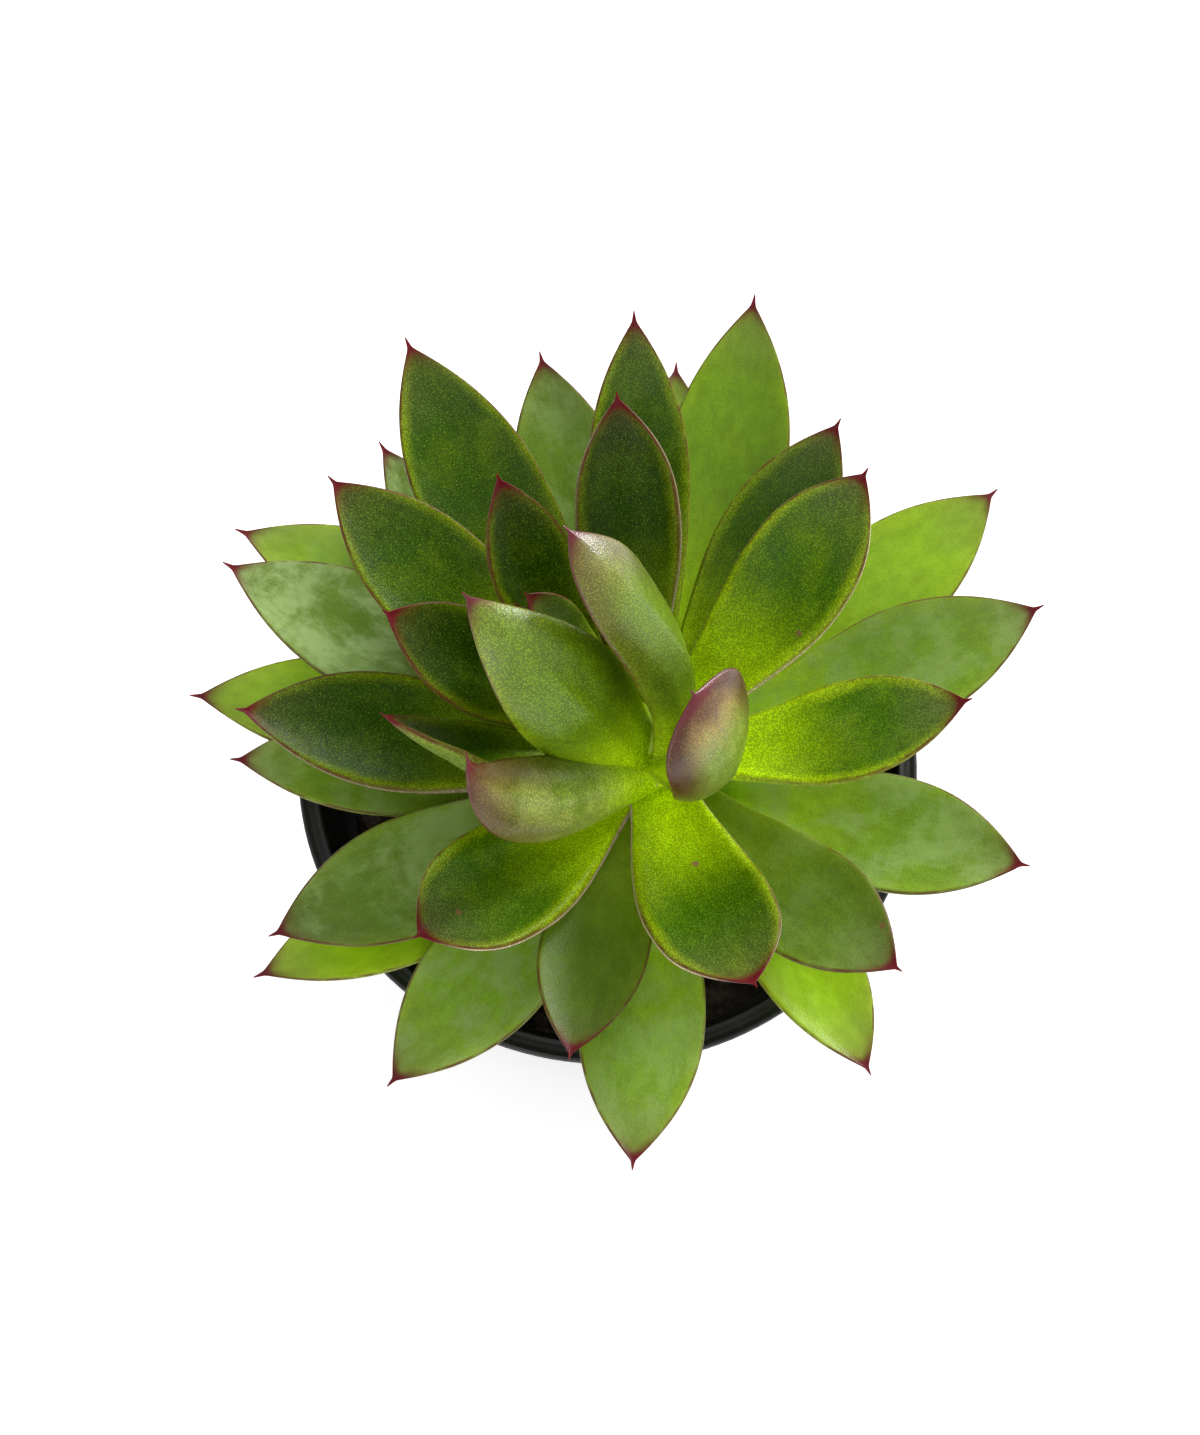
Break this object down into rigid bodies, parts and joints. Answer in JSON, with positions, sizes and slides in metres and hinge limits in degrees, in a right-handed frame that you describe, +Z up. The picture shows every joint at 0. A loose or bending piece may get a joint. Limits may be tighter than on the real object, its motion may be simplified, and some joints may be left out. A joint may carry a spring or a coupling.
{
  "type": "potted lipstick echeveria",
  "caption": "Rosette succulent with thick pointed red-tipped green leaves on a short stem, in a round black nursery pot with soil.",
  "frame": {"origin": "centre of the pot's flat underside", "axes": "+Z up; the picture's camera looks from -Y and above; +X to the picture's right"},
  "size_m": [0.1195, 0.124, 0.131],
  "materials": {
    "pot_plastic": "black thin nursery pot plastic, satin, with faint turned rings on the rim",
    "potting_soil": "dark brown loose potting soil with bark bits and a few light grains",
    "stem_skin": "smooth waxy yellow-green plant skin",
    "leaf_pale": "bright yellow-green waxy leaf, thin dark red edge and crimson point",
    "leaf_outer": "grey-green waxy leaf with mottled bloom, thin dark red edge and crimson point",
    "leaf_inner": "deep green finely stippled leaf, yellow-green towards base and margin, dark red edge",
    "leaf_back": "olive green leaf underside with satin keel and pink to crimson flush at the tip"
  },
  "bodies": {
    "root": {"pot": "pot_plastic", "soil": "potting_soil", "stem": "stem_skin", "leaf_01": "leaf_pale", "leaf_02": "leaf_pale", "leaf_03": "leaf_pale", "leaf_04": "leaf_pale", "leaf_05": "leaf_pale", "leaf_06": "leaf_pale", "leaf_07": "leaf_outer", "leaf_08": "leaf_outer", "leaf_09": "leaf_outer", "leaf_10": "leaf_outer", "leaf_11": "leaf_outer", "leaf_12": "leaf_outer", "leaf_13": "leaf_outer", "leaf_14": "leaf_outer", "leaf_15": "leaf_outer", "leaf_16": "leaf_outer", "leaf_17": "leaf_outer", "leaf_18": "leaf_outer", "leaf_19": "leaf_inner", "leaf_20": "leaf_inner", "leaf_21": "leaf_inner", "leaf_22": "leaf_inner", "leaf_23": "leaf_inner", "leaf_24": "leaf_inner", "leaf_25": "leaf_inner", "leaf_26": "leaf_inner", "leaf_27": "leaf_inner", "leaf_28": "leaf_inner", "leaf_29": "leaf_inner", "leaf_30": "leaf_inner", "leaf_31": "leaf_inner", "leaf_32": "leaf_back", "leaf_33": "leaf_back", "leaf_34": "leaf_back", "leaf_35": "leaf_back", "leaf_36": "leaf_back", "leaf_37": "leaf_back"}
  },
  "joints": []
}
